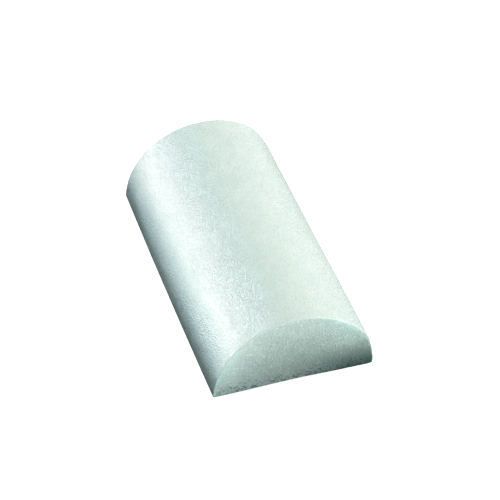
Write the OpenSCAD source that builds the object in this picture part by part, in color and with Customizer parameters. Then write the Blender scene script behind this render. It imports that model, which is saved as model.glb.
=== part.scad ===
// Half-round foam roller: a D-section bar of closed-cell foam that lies on its flat base.
//
// The bar is one half of a round foam log that was slit along its length. The curved face
// keeps the dense pebbled skin of the log. The flat base and the two ends are saw cuts, and
// bare foam shows there inside the thin edge of the skin.
//
// Frame: Y runs along the bar, Z is up, and the origin is the middle of the flat base.

/* [Roller] */
// Diameter of the round log that the half is slit from
roller_d = 152.4; // [100:0.1:200]
// Length of the bar from one sawn end to the other
roller_l = 295; // [150:1:950]
// Height of the slit above the axis of the log, half the saw's kerf and the clean-up cut
slit_rise = 4; // [0:0.5:12]

/* [Skin] */
// Thickness of the dense skin on the curved face
skin_t = 1.2; // [0.6:0.1:3]

/* [Colours] */
// Colour of the skin: pale, slightly green white
skin_colour = [0.86, 0.91, 0.89];
// Colour of the sawn foam
core_colour = [0.78, 0.85, 0.82];

/* [Hidden] */
$fn = 180;
skin_r = roller_d / 2;
core_r = skin_r - skin_t;

// The part of a disc of radius r that lies above the slit, with the slit brought down to y = 0
module half_disc(r) {
    translate([0, -slit_rise])
        intersection() {
            circle(r = r);
            translate([-skin_r, slit_rise])
                square([2 * skin_r, skin_r]);
        }
}

// Runs a section drawn in X and Z along the whole bar, centred on the origin
module along_bar() {
    translate([0, roller_l / 2, 0])
        rotate([90, 0, 0])
            linear_extrude(height = roller_l)
                children();
}

// Solid foam inside the skin: it fills the bar from end to end and makes most of its base
module foam_core() {
    color(core_colour)
        along_bar()
            half_disc(core_r);
}

// Skin over the curved face, bonded to the foam, flush with both ends and with the base
module outer_skin() {
    color(skin_colour)
        along_bar()
            difference() {
                half_disc(skin_r);
                translate([0, -slit_rise])
                    circle(r = core_r);
            }
}

foam_core();
outer_skin();
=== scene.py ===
"""The looks of a half-round foam roller: a pebbled skin over a bar of sawn closed-cell foam."""

import math

import bmesh
import bpy
import numpy as np
from mathutils import Matrix, Vector


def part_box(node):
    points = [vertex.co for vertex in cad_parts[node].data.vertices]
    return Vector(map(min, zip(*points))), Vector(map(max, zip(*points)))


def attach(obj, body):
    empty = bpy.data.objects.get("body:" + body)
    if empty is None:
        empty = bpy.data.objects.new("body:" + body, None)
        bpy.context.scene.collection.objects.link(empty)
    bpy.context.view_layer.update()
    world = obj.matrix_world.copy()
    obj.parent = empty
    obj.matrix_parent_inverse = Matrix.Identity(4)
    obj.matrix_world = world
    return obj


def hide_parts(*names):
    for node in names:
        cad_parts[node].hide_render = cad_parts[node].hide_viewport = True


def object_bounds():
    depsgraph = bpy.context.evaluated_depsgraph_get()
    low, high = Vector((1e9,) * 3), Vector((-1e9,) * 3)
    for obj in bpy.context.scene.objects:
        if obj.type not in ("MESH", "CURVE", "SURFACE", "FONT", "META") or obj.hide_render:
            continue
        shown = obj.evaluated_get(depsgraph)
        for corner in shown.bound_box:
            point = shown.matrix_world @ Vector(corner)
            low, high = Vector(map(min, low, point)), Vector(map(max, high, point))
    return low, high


MM = 0.001

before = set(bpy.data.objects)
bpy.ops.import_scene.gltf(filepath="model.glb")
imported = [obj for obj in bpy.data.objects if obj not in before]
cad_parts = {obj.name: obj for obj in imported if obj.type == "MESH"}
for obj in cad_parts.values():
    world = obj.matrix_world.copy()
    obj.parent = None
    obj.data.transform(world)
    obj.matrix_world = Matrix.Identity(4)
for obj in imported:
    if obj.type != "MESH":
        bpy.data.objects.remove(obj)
cad_low, cad_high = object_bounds()

# ---- Sizes, all worked out from the two CAD solids -------------------------------------------

core_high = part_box("foam_core")[1]
skin_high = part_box("outer_skin")[1]
half_length = skin_high.y
half_width = skin_high.x
height = skin_high.z
# The circle that passes through both base corners and the crown
skin_radius = (half_width ** 2 + height ** 2) / (2 * height)
arc_centre_z = height - skin_radius
skin_thickness = skin_high.z - core_high.z
core_radius = skin_radius - skin_thickness

# ---- Random relief, the same on every run ----------------------------------------------------

END_SEEDS = ((-1, 31), (1, 41))  # the near end (-1) and the far one (1), each with its seed
LATTICE = 256  # a random table repeats after this many cells, further than any face reaches


def cell_corner(x, y, cell):
    """The cell that each point lies in, and how far across that cell it is."""
    across, along = np.asarray(x) / cell[0], np.asarray(y) / cell[1]
    i, j = np.floor(across).astype(int), np.floor(along).astype(int)
    return i, j, across - i, along - j


def swells(x, y, cell, seed):
    """Smooth random height, from -1 to 1, with about one hill or hollow to a cell."""
    table = np.random.RandomState(seed).uniform(-1, 1, (LATTICE, LATTICE))
    i, j, u, v = cell_corner(x, y, cell)
    u, v = u * u * (3 - 2 * u), v * v * (3 - 2 * v)

    def corner(di, dj):
        return table[(i + di) % LATTICE, (j + dj) % LATTICE]

    near = corner(0, 0) * (1 - u) + corner(1, 0) * u
    far = corner(0, 1) * (1 - u) + corner(1, 1) * u
    return near * (1 - v) + far * v


def pebbles(x, y, cell, seed):
    """Rounded pebbles packed side by side: 1 on their crowns, falling to 0 in the creases."""
    spots = np.random.RandomState(seed).uniform(0.05, 0.95, (LATTICE, LATTICE, 2))
    i, j, u, v = cell_corner(x, y, cell)
    nearest = np.full(u.shape, 9.0)
    second = np.full(u.shape, 9.0)
    for di in (-1, 0, 1):
        for dj in (-1, 0, 1):
            spot = spots[(i + di) % LATTICE, (j + dj) % LATTICE]
            distance = np.hypot(di + spot[..., 0] - u, dj + spot[..., 1] - v)
            second = np.minimum(second, np.maximum(nearest, distance))
            nearest = np.minimum(nearest, distance)
    rise = np.clip((second - nearest) / 0.75, 0, 1)
    return rise * (2 - rise)


def skin_relief(around, along):
    """How far the pebbled skin stands out at a place on the unrolled curved face."""
    slow = swells(around, along, (46 * MM, 60 * MM), 11) * 0.15 * MM
    grain = pebbles(around, along, (2.4 * MM, 2.2 * MM), 12) * 0.09 * MM
    fine = swells(around, along, (1.8 * MM, 1.7 * MM), 13) * 0.05 * MM
    wrinkled = np.clip(swells(around, along, (30 * MM, 24 * MM), 14) + 0.3, 0, 1)
    wrinkle = swells(around, along, (6.0 * MM, 1.9 * MM), 15) * wrinkled * 0.07 * MM
    return slow + grain + fine + wrinkle


def cut_relief(across, up, seed):
    """How far a sawn foam face stands out: a wandering cut, with opened cells in it."""
    slow = swells(across, up, (24 * MM, 18 * MM), seed) * 0.16 * MM
    cells = pebbles(across, up, (2.1 * MM, 2.0 * MM), seed + 1) * 0.10 * MM
    pits = np.clip(swells(across, up, (1.7 * MM, 1.6 * MM), seed + 2) - 0.45, 0, 1) * 0.3 * MM
    return slow + cells - pits


# ---- The shape of a bar sawn from soft foam --------------------------------------------------

FAR_SHOULDER = 1.4 * MM  # how far the top right of the far end stands out
FAR_CORNER = 0.8 * MM  # and how much more it does at its corner
NEAR_SHOULDER = 1.4 * MM  # and the right side, towards the near end
TUCK = 1.9 * MM  # how far the right side draws in, below that shoulder
DENT = 0.9 * MM  # and how much more it does at the near end
CURL = 0.6 * MM  # how much more it does just above the base
ROUNDED = 0.8 * MM  # and at its last corner
BOW = 0.85 * MM  # how far the left side stands out, half way along its base edge
HOLLOW = 1.45 * MM  # how far the middle of the base is off the floor


def bell(value, centre, reach):
    """A smooth hill: 1 where value is at centre, down to 0 where it is reach away."""
    return np.cos(np.clip((value - centre) / reach, -1, 1) * math.pi / 2) ** 2


def ramp(value, start, end):
    """A smooth step, from 0 where value is at start to 1 where it is at end."""
    share = np.clip((value - start) / (end - start), 0, 1)
    return share * share * (3 - 2 * share)


def as_sawn(x, y, z):
    """Moves points of either piece by the millimetre or so that the real bar is out of true."""
    up = z - arc_centre_z
    angle, out = np.arctan2(x, up), np.hypot(x, up) / skin_radius
    far = ramp(y, 0.2 * half_length, half_length)
    near = ramp(y, 0.4 * half_length, -half_length)
    fuller = bell(angle, math.radians(28), math.radians(36)) * far * FAR_SHOULDER
    fuller = fuller + bell(angle, math.radians(43), math.radians(19)) * far * FAR_CORNER
    fuller = fuller + bell(angle, math.radians(58), math.radians(28)) * near * NEAR_SHOULDER
    tucked = ramp(z, 27 * MM, 9 * MM) * TUCK + ramp(z, 7 * MM, 0) * CURL
    tucked = tucked + bell(z, 23 * MM, 10 * MM) * near ** 2 * DENT
    tucked = tucked + ramp(z, 1.8 * MM, 0) ** 2 * ROUNDED
    bowed = (1 - (y / half_length) ** 2) * ramp(z, 34 * MM, 0) * BOW
    share = x / half_width
    sideways = np.clip(share, -1, 0) * bowed - np.clip(share, 0, 1) * tucked
    arched = bell(x, -6 * MM, 84 * MM) * ramp(x, 62 * MM, 22 * MM) * ramp(z, 30 * MM, 0) * HOLLOW
    shift = out * fuller * np.sin(angle) + sideways
    lift = out * fuller * np.cos(angle) + arched
    return x + shift, y, z + lift


# ---- Mesh helpers ----------------------------------------------------------------------------


def grid_quads(index):
    """Quads over a 2D array of vertex numbers."""
    corners = (index[:-1, :-1], index[1:, :-1], index[1:, 1:], index[:-1, 1:])
    return np.stack(corners, -1).reshape(-1, 4).tolist()


def mesh_piece(name, points, faces, flat_faces=()):
    """A closed mesh object, with its normals outward and every face smooth but flat_faces."""
    mesh = bpy.data.meshes.new(name)
    mesh.from_pydata(points.tolist(), [], faces + list(flat_faces))
    mesh.polygons.foreach_set("use_smooth", [True] * len(faces) + [False] * len(flat_faces))
    shape = bmesh.new()
    shape.from_mesh(mesh)
    bmesh.ops.recalc_face_normals(shape, faces=shape.faces)
    shape.to_mesh(mesh)
    shape.free()
    piece = bpy.data.objects.new(name, mesh)
    bpy.context.scene.collection.objects.link(piece)
    return piece


# ---- The skin --------------------------------------------------------------------------------

SKIN_STEP = 0.87 * MM  # spacing of the points over the curved face
ARRIS = 0.9 * MM  # radius of the sawn edge where the skin meets an end
EASE = 0.45 * MM  # how far an end has pulled back at its rim
EASE_REACH = 4.3 * MM  # and how far in from the rim that begins


def eased(depth):
    """How far an end is set back, at a depth below the curved face."""
    return EASE * np.clip(1 - depth / EASE_REACH, 0, 1) ** 2


def skin_loop():
    """Once round the skin's thickness at one angle: each point's place along the bar, its depth
    below the curved face, and which end it is on (-1, 1, or 0 between)."""
    run = half_length - eased(ARRIS) - ARRIS
    outer = [(y, 0.0, 0) for y in np.linspace(-run, run, round(2 * run / SKIN_STEP) + 1)]
    turns = [math.radians(a) for a in (30, 60, 90)]
    rim = [(run + ARRIS * math.sin(a), ARRIS * (1 - math.cos(a))) for a in turns]
    rim.append((half_length - eased(skin_thickness), skin_thickness))
    far_end = [(y, depth, 1) for y, depth in rim]
    inner = [(y, skin_thickness, 0) for y in np.linspace(0.9 * run, -0.9 * run, 7)]
    near_end = [(-y, depth, -1) for y, depth in reversed(rim)]
    return np.array(outer + far_end + inner + near_end)


def make_skin():
    """The skin: a thin half tube, from one edge of the base over the crown to the other."""
    loop = skin_loop()
    widest = math.acos(-arc_centre_z / skin_radius)
    steps = round(2 * widest * skin_radius / SKIN_STEP)
    angles = np.linspace(-widest, widest, steps + 1)
    angle, y = np.meshgrid(angles, loop[:, 0], indexing="ij")
    depth = np.broadcast_to(loop[:, 1], angle.shape)
    end = np.broadcast_to(loop[:, 2], angle.shape)
    surface = np.clip(1 - depth / ARRIS, 0, 1)
    radius = skin_radius - depth + surface * skin_relief(angle * skin_radius, y)
    x = radius * np.sin(angle)
    z = arc_centre_z + radius * np.cos(angle)
    z[0], z[-1] = 0, 0
    for side, seed in END_SEEDS:
        cut = side * cut_relief(x, z, seed) * np.clip(depth / ARRIS, 0, 1)
        y = np.where(end == side, y + cut, y)
    points = np.stack(as_sawn(x, y, z), -1).reshape(-1, 3)
    index = np.arange(angle.size).reshape(angle.shape)
    around = grid_quads(np.concatenate([index, index[:, :1]], 1))
    base_edges = [index[0].tolist(), index[-1].tolist()]
    return mesh_piece("pebbled_skin", points, around, base_edges)


# ---- The foam core ---------------------------------------------------------------------------

END_ACROSS, END_UP = 200, 96  # quads over an end face, across the base and up each side
BASE_ALONG = 240  # quads along the base


def half_disc():
    """A grid that fills the core's section: rows run up from the base and end on the arc."""
    u, v = np.meshgrid(
        np.linspace(-1, 1, END_ACROSS + 1), np.linspace(0, 1, END_UP + 1), indexing="ij"
    )
    across, up = u * np.sqrt(1 - v * v / 2), v * np.sqrt(1 - u * u / 2)
    share, direction = np.hypot(across, up), np.arctan2(up, across)
    drop = arc_centre_z * np.sin(direction)
    side = arc_centre_z * np.cos(direction)
    reach = drop + np.sqrt(core_radius ** 2 - side ** 2)
    return share * reach * np.cos(direction), share * reach * np.sin(direction)


def make_core():
    """The core: a solid bar under the skin, with its two sawn ends and its base bare."""
    x, z = half_disc()
    gap = 0.03 * MM  # keeps the foam's curved side clear of the skin's inner side
    shrink = 1 - gap / core_radius
    x, z = x * shrink, z * shrink
    ends = []
    for side, seed in END_SEEDS:
        depth = skin_radius - np.hypot(x, z - arc_centre_z)
        y = side * (half_length - eased(depth) + cut_relief(x, z, seed))
        ends.append(np.stack(as_sawn(x, y, z), -1).reshape(-1, 3))
    near = np.arange(x.size).reshape(x.shape)
    far = near + x.size

    # The base: rows between the two ends, whose own lowest rows close it
    along = np.linspace(-half_length, half_length, BASE_ALONG + 1)[1:-1]
    base_x, base_y = np.meshgrid(x[:, 0], along, indexing="ij")
    sunk = np.clip(-cut_relief(base_x, base_y, 51), 0, None)
    sunk[0], sunk[-1] = 0, 0
    base = np.stack(as_sawn(base_x, base_y, sunk), -1).reshape(-1, 3)
    middle = 2 * x.size + np.arange(base_x.size).reshape(base_x.shape)
    bottom = np.concatenate([near[:, :1], middle, far[:, :1]], 1)

    # The curved side lies hidden under the skin, so long plain faces are enough there
    def over_the_top(index):
        return np.concatenate([index[0, 1:], index[1:, -1], index[-1, -2:0:-1]])

    top = np.stack([over_the_top(near), over_the_top(far)], 1)
    left = [*bottom[0].tolist(), int(far[0, 1]), int(near[0, 1])]
    right = [*bottom[-1].tolist(), int(far[-1, 1]), int(near[-1, 1])]
    faces = grid_quads(near) + grid_quads(far) + grid_quads(bottom)
    points = np.concatenate([*ends, base])
    return mesh_piece("sawn_foam_core", points, faces, grid_quads(top) + [left, right])


# ---- Materials -------------------------------------------------------------------------------


class Shader:
    """A material under construction, with short ways to add and join its nodes."""

    def __init__(self, name):
        self.material = bpy.data.materials.new(name)
        self.material.use_nodes = True
        self.tree = self.material.node_tree
        self.principled = self.tree.nodes["Principled BSDF"]
        self.place = self.node("ShaderNodeTexCoord").outputs["Object"]

    def node(self, kind, settings=None, **inputs):
        """Adds a node. Each input is a value, or another node's output to join to it."""
        made = self.tree.nodes.new(kind)
        for key, value in (settings or {}).items():
            setattr(made, key, value)
        for key, value in inputs.items():
            place = int(key[1:]) if key[1:].isdigit() else key.replace("_", " ")
            socket = made.inputs[place]
            if isinstance(value, bpy.types.NodeSocket):
                self.tree.links.new(value, socket)
            else:
                socket.default_value = value
        return made

    def stretched(self, x, y, z):
        """Object coordinates, scaled along each axis."""
        return self.node("ShaderNodeMapping", Vector=self.place, Scale=(x, y, z)).outputs[0]

    def noise(self, size, detail, place=None):
        """Soft noise, from 0 to 1, whose features are about size across."""
        found = self.node(
            "ShaderNodeTexNoise", Vector=place or self.place, Scale=1 / size, Detail=detail
        )
        return found.outputs["Fac"]

    def remap(self, value, low, high, to_low, to_high):
        """value, from low to high, spread over to_low to to_high."""
        made = self.node(
            "ShaderNodeMapRange", _0=value, _1=low, _2=high, _3=to_low, _4=to_high
        )
        return made.outputs[0]

    def times(self, first, second):
        """Two values multiplied."""
        made = self.node("ShaderNodeMath", {"operation": "MULTIPLY"}, _0=first, _1=second)
        return made.outputs[0]

    def from_middle(self, axis):
        """How far a point is from the middle of the roller along one axis, as X or Y."""
        spot = self.node("ShaderNodeSeparateXYZ", Vector=self.place).outputs[axis]
        return self.node("ShaderNodeMath", {"operation": "ABSOLUTE"}, _0=spot).outputs[0]

    def blend(self, share, first, second):
        """A colour from first, where share is 0, to second, where it is 1."""
        made = self.node("ShaderNodeMix", {"data_type": "RGBA"}, _0=share)
        for socket, colour in ((made.inputs[6], first), (made.inputs[7], second)):
            if isinstance(colour, bpy.types.NodeSocket):
                self.tree.links.new(colour, socket)
            else:
                socket.default_value = (*colour, 1)
        return made.outputs[2]

    def bump(self, height, depth, under=None):
        """A surface normal tipped by height, which stands for depth metres, over another bump."""
        made = self.node("ShaderNodeBump", Height=height, Distance=depth, Strength=1.0)
        if under is not None:
            self.tree.links.new(under, made.inputs["Normal"])
        return made.outputs[0]

    def join(self, **inputs):
        """Joins outputs to, or sets values on, the Principled shader's own sockets."""
        for key, value in inputs.items():
            socket = self.principled.inputs[key.replace("_", " ")]
            if isinstance(value, bpy.types.NodeSocket):
                self.tree.links.new(value, socket)
            else:
                socket.default_value = value


def skin_material():
    """Dense polyethylene skin: pale, faintly green, satin, with a leathery grain and painted shade.
    """
    shader = Shader("pebbled_polyethylene")
    mottle = shader.noise(14 * MM, 4)
    grain = shader.noise(1.22 * MM, 0.5)
    creases = shader.node(
        "ShaderNodeTexVoronoi", {"feature": "SMOOTH_F1"}, Vector=shader.place,
        Scale=1 / (2.2 * MM), Smoothness=0.6,
    ).outputs["Distance"]
    spot = shader.node("ShaderNodeSeparateXYZ", Vector=shader.place).outputs

    # Wrinkles run across the bar in patches, most on its right side
    wrinkles = shader.noise(1.0 * MM, 1, shader.stretched(0.2, 1, 0.2))
    creased = shader.remap(shader.noise(16 * MM, 2), 0.42, 0.6, 0, 1)
    creased = shader.times(creased, shader.remap(spot["X"], 0, 34 * MM, 0.1, 1))

    # The cut edge of the skin at an end, with painted shade low down
    along = shader.from_middle("Y")
    at_end = shader.remap(along, half_length - 1.6 * MM, half_length - 0.9 * MM, 0, 1)
    painted_rim_shade = shader.times(at_end, shader.remap(spot["Z"], 8 * MM, 34 * MM, 1, 0))

    pale, deep = (0.80, 0.875, 0.845), (0.75, 0.84, 0.805)
    tint = shader.blend(shader.remap(mottle, 0.35, 0.65, 0, 1), pale, deep)
    # Painted shade: the creases between the pebbles are painted darker
    tint = shader.blend(shader.remap(creases, 0.35, 0.8, 0, 0.35), tint, (0.68, 0.79, 0.76))
    # Painted shade: the hollows of the grain are painted darker
    tint = shader.blend(shader.remap(grain, 0.35, 0.6, 0.33, 0), tint, (0.62, 0.74, 0.71))
    # painted shade on the skin's cut edge, darker low down
    tint = shader.blend(painted_rim_shade, tint, (0.52, 0.65, 0.61))
    rough = shader.remap(grain, 0.35, 0.65, 0.34, 0.23)

    # The grain is shallower low on both flanks
    shallow = shader.remap(shader.from_middle("X"), 44 * MM, 72 * MM, 1, 0.6)
    normal = shader.bump(shader.times(grain, shallow), 0.80 * MM)
    normal = shader.bump(creases, -0.16 * MM, normal)
    normal = shader.bump(shader.times(wrinkles, creased), 0.8 * MM, normal)
    shader.join(Base_Color=tint, Roughness=rough, Normal=normal, IOR=1.5, Specular_IOR_Level=1.0)
    return shader.material


def foam_material():
    """Sawn closed-cell foam: matt, with opened cells, thin walls and a few bright flecks, and
    painted shade.
    """
    shader = Shader("sawn_polyethylene_foam")
    mottle = shader.noise(9 * MM, 4)
    cells = shader.node(
        "ShaderNodeTexVoronoi", {"feature": "F1"}, Vector=shader.place, Scale=1 / (1.3 * MM)
    )
    fleck = shader.node("ShaderNodeSeparateColor", Color=cells.outputs["Color"]).outputs[0]
    walls = cells.outputs["Distance"]
    spot = shader.node("ShaderNodeSeparateXYZ", Vector=shader.place).outputs

    # Painted shade: the ends are painted darker low down, most towards the right
    along = shader.from_middle("Y")
    at_end = shader.remap(along, half_length - 3 * MM, half_length - 1.5 * MM, 0, 1)
    low = shader.times(shader.remap(spot["Z"], 2 * MM, 15 * MM, 1, 0), at_end)
    painted_end_shade = shader.times(shader.remap(spot["Z"], 0, 32 * MM, 1, 0), at_end)
    painted_end_shade = shader.times(painted_end_shade, shader.remap(spot["X"], -8 * MM, 50 * MM, 0, 1))

    # Some cells are open pits with painted shade in them, which show most low down, and some are
    # bright, partly a painted glint
    painted_pit_shade = shader.times(shader.remap(fleck, 0.05, 0.4, 1, 0), shader.remap(low, 0, 1, 0.16, 0.95))
    bright = shader.times(shader.remap(fleck, 0.8, 1.0, 0, 0.6), shader.remap(painted_end_shade, 0, 0.5, 1, 0.2))

    pale, deep = (0.64, 0.755, 0.715), (0.58, 0.705, 0.665)
    tint = shader.blend(shader.remap(mottle, 0.35, 0.65, 0, 1), pale, deep)
    # Painted shade: the hollows of the cells are painted darker than their walls
    tint = shader.blend(shader.remap(walls, 0.2, 0.7, 0.3, 0), tint, (0.50, 0.63, 0.60))
    # painted shade, darkest low on the right of each end
    tint = shader.blend(painted_end_shade, tint, (0.12, 0.19, 0.18))
    # painted shade in the open pits
    tint = shader.blend(painted_pit_shade, tint, (0.07, 0.16, 0.15))
    # bright flecks: paler cells, their colour partly a painted glint
    tint = shader.blend(bright, tint, (0.92, 0.96, 0.94))
    rough = shader.remap(fleck, 0.7, 1.0, 0.8, 0.45)
    normal = shader.bump(walls, 0.42 * MM)
    normal = shader.bump(shader.noise(0.8 * MM, 1), 0.35 * MM, normal)
    shader.join(Base_Color=tint, Roughness=rough, Normal=normal, IOR=1.45)
    return shader.material


# ---- The pieces ------------------------------------------------------------------------------

skin = make_skin()
skin.data.materials.append(skin_material())
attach(skin, "root")
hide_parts("outer_skin")

core = make_core()
core.data.materials.append(foam_material())
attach(core, "root")
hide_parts("foam_core")

# ---- Stage, lights and camera ----------------------------------------------------------------

FLOOR_REACH = 6.0  # half the width of the floor, in metres
FLOOR_DROP = 0.2 * MM  # how far it lies below the base, so that the two don't coincide
STUDIO_REACH = 2.2  # metres from the roller to each broad lamp
SOFTBOX_SIZE = (1.4, 1.2)  # metres, like the other lamps' sizes
PANEL_SIZE = (1.0, 0.45)
END_LAMP_GAP = 40 * MM  # from an end to the small lamps that shade it
END_LAMP_SIZE = (8 * MM, 8 * MM)
END_AIM = 30 * MM  # how high on an end its lamps point
RIM_LAMP_REACH = 1.0  # metres from an end to the lamp that lights the skin's cut edge
RIM_LAMP_DROP = 0.105  # and how far below its aim it is, where the floor doesn't block it
RIM_LAMP_SIZE = (0.3, 0.3)
RIM_LAMP_POWER = 9  # W
FILL_COLOUR = (0.75, 0.95, 0.93, 1)  # of the faint light from all round
FILL_STRENGTH = 0.01

CAMERA_AZIMUTH, CAMERA_ELEVATION = -17.68, 41.05  # degrees, as in towards()
CAMERA_REACH = 2.0  # metres from the point that it looks at
CAMERA_LENS = 155.3  # focal length in mm
AIM_RIGHT = 4.5 * MM  # how far that point is to the right of the roller's middle
AIM_BELOW = 4.3 * MM  # and how far below it

# Colours of the lamps
WARM = (1.0, 0.95, 0.8)
PLAIN = (1.0, 1.0, 0.97)
DAY = (0.96, 0.98, 1.0)
SEA = (0.8, 1.0, 0.98)
COOL = (0.9, 0.92, 1.0)
COLD = (0.6, 0.9, 1.0)

# The small lamps in front of an end: x and z in mm, power in W, and colour
END_LAMPS = (
    (-110, 45, 0.035, SEA),
    (-75, 80, 0.025, PLAIN),
    (0, 80, 0.01, PLAIN),
    (75, 80, 0.035, SEA),
    (100, 60, 0.01, WARM),
)


def towards(azimuth, elevation):
    """The direction to a place round the roller: azimuth 0 is off its near end, 90 off +X."""
    a, e = math.radians(azimuth), math.radians(elevation)
    return Vector((math.sin(a) * math.cos(e), -math.cos(a) * math.cos(e), math.sin(e)))


def make_floor():
    """A pale glowing floor that neither lights the roller nor shows in its shine."""
    mesh = bpy.data.meshes.new("floor")
    signs = ((-1, -1), (1, -1), (1, 1), (-1, 1))
    corners = [(x * FLOOR_REACH, y * FLOOR_REACH, -FLOOR_DROP) for x, y in signs]
    mesh.from_pydata(corners, [], [(0, 1, 2, 3)])
    floor = bpy.data.objects.new("floor", mesh)
    bpy.context.scene.collection.objects.link(floor)
    shader = Shader("pale_floor")
    shader.join(Base_Color=(0.9, 0.9, 0.9, 1), Roughness=1.0)
    shader.join(Emission_Color=(1, 1, 1, 1), Emission_Strength=0.95)
    mesh.materials.append(shader.material)
    floor.visible_diffuse = False
    floor.visible_glossy = False
    floor.visible_shadow = False


def add_lamp(name, place, aim, size, power, colour):
    """A rectangular lamp that faces aim, and that the camera doesn't see."""
    data = bpy.data.lights.new(name, "AREA")
    data.shape, data.size, data.size_y = "RECTANGLE", size[0], size[1]
    data.energy, data.color = power, colour
    lamp = bpy.data.objects.new(name, data)
    bpy.context.scene.collection.objects.link(lamp)
    lamp.location = place
    lamp.rotation_mode = "QUATERNION"
    lamp.rotation_quaternion = (place - aim).to_track_quat("Z", "Y")
    lamp.visible_camera = False
    return lamp


def softbox(name, azimuth, elevation, power, colour):
    """A broad lamp that shades the roller without a shine."""
    place = towards(azimuth, elevation) * STUDIO_REACH
    lamp = add_lamp(name, place, Vector(), SOFTBOX_SIZE, power, colour)
    lamp.visible_glossy = False


def sheen_panel(name, azimuth, elevation, power, colour):
    """A broad lamp that only shows as a shine on the skin."""
    place = towards(azimuth, elevation) * STUDIO_REACH
    lamp = add_lamp(name, place, Vector(), PANEL_SIZE, power, colour)
    lamp.visible_diffuse = False


def only_lights(lamp, piece):
    """Keeps a lamp's light to one piece."""
    lit = bpy.data.collections.new(f"lit_by_{lamp.name}")
    lit.objects.link(piece)
    lamp.light_linking.receiver_collection = lit


def end_lamps(side):
    """The lamps in front of one end: side is -1 for the near end, 1 for the far one."""
    aim = Vector((0, side * half_length, END_AIM))
    for number, (x, z, power, colour) in enumerate(END_LAMPS):
        place = Vector((x * MM, side * (half_length + END_LAMP_GAP), z * MM))
        lamp = add_lamp(f"end_lamp_{side}_{number}", place, aim, END_LAMP_SIZE, power, colour)
        only_lights(lamp, core)
    place = aim + Vector((0, side * RIM_LAMP_REACH, -RIM_LAMP_DROP))
    lamp = add_lamp(f"rim_lamp_{side}", place, aim, RIM_LAMP_SIZE, RIM_LAMP_POWER, SEA)
    lamp.visible_glossy = False
    only_lights(lamp, skin)


def make_camera():
    """A long lens, from above and to the left of the near end."""
    data = bpy.data.cameras.new("camera")
    data.lens = CAMERA_LENS
    camera = bpy.data.objects.new("camera", data)
    bpy.context.scene.collection.objects.link(camera)
    back = towards(CAMERA_AZIMUTH, CAMERA_ELEVATION)
    right = Vector((0, 0, 1)).cross(back).normalized()
    up = back.cross(right)
    aim = (cad_low + cad_high) / 2 + right * AIM_RIGHT - up * AIM_BELOW
    turned = Matrix((right, up, back)).transposed().to_4x4()
    camera.matrix_world = Matrix.Translation(aim + back * CAMERA_REACH) @ turned
    bpy.context.scene.camera = camera


make_floor()
softbox("overhead", 0, 90, 25, WARM)
softbox("left", -90, 60, 10, COLD)
softbox("right", 90, 20, 60, DAY)
sheen_panel("side_sheen", -124, 8, 25, WARM)
sheen_panel("low_sheen", -124, -8, 20, COLD)
sheen_panel("back_sheen", -138, 14, 20, COOL)
sheen_panel("raised_sheen", -143, 25, 30, COOL)
sheen_panel("high_sheen", -165, 45, 25, COLD)
for side in (-1, 1):
    end_lamps(side)
make_camera()

world = bpy.data.worlds.new("studio")
world.use_nodes = True
background = world.node_tree.nodes["Background"]
background.inputs["Color"].default_value = FILL_COLOUR
background.inputs["Strength"].default_value = FILL_STRENGTH
bpy.context.scene.world = world
bpy.context.scene.view_settings.view_transform = "Standard"
